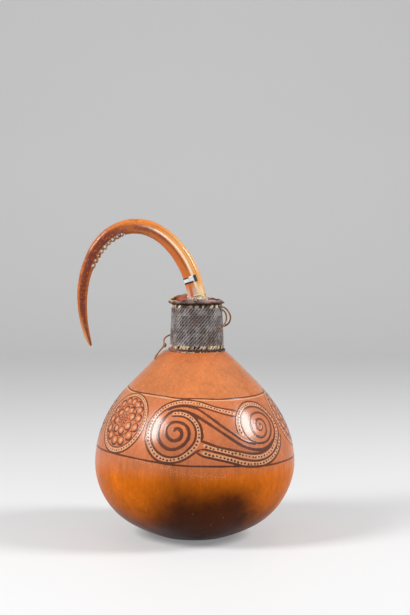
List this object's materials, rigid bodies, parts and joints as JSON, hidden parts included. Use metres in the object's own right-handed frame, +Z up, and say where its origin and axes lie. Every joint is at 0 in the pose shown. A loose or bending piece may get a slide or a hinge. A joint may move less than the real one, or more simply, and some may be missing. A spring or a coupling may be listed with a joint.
{
  "type": "lime gourd",
  "caption": "Hollow round gourd shell with a plaited collar at its mouth and a long curved tusk as its lift-out stopper.",
  "frame": {"origin": "the middle of the flat base, on the surface the gourd stands on, on the axis of the gourd", "axes": "+Z up, +X to the right as the tusk points left and down at -X, +Y away from the viewer"},
  "size_m": [0.185, 0.1708, 0.2693],
  "materials": {
    "gourd": "dried gourd rind, polished by handling, orange-brown with burnt line ornament",
    "cane": "split cane, dark and dry",
    "plait": "fine plaited fibre in a twill, darkened to grey-black",
    "whipping": "pale twisted fibre stitches",
    "liner": "dried leaf sheath, red-brown, greyed at its rim",
    "putty": "dark nut putty with crumbs of lime",
    "cord": "thin twisted bast cord, brown",
    "wad": "bound fibre wad",
    "tusk": "boar tusk, glossy, honey-orange with a darker worn face and a pale root",
    "label": "plain pasted slip, blank"
  },
  "bodies": {
    "gourd": {"gourd_shell": "gourd", "lower_hoop": "cane", "upper_hoop": "cane", "plaited_collar": "plait", "lower_whipping": "whipping", "upper_whipping": "whipping", "mouth_liner": "liner", "putty_seal": "putty", "loop_cord": "cord", "inner_loop_cord": "cord", "tail_cord": "cord", "tail_knot": "cord"},
    "wad": {"stopper_wad": "wad"},
    "tusk": {"tusk_stopper": "tusk", "label_band": "label"}
  },
  "joints": [
    {"name": "stopper_lift", "type": "slide", "parent": "gourd", "child": "wad", "axis": [0, 0, 1], "range_m": [0, 0.09]},
    {"name": "stopper_turn", "type": "hinge", "parent": "wad", "child": "tusk", "pos_m": [0.0022, 0, 0.19], "axis": [0, 0, 1], "continuous": true}
  ]
}
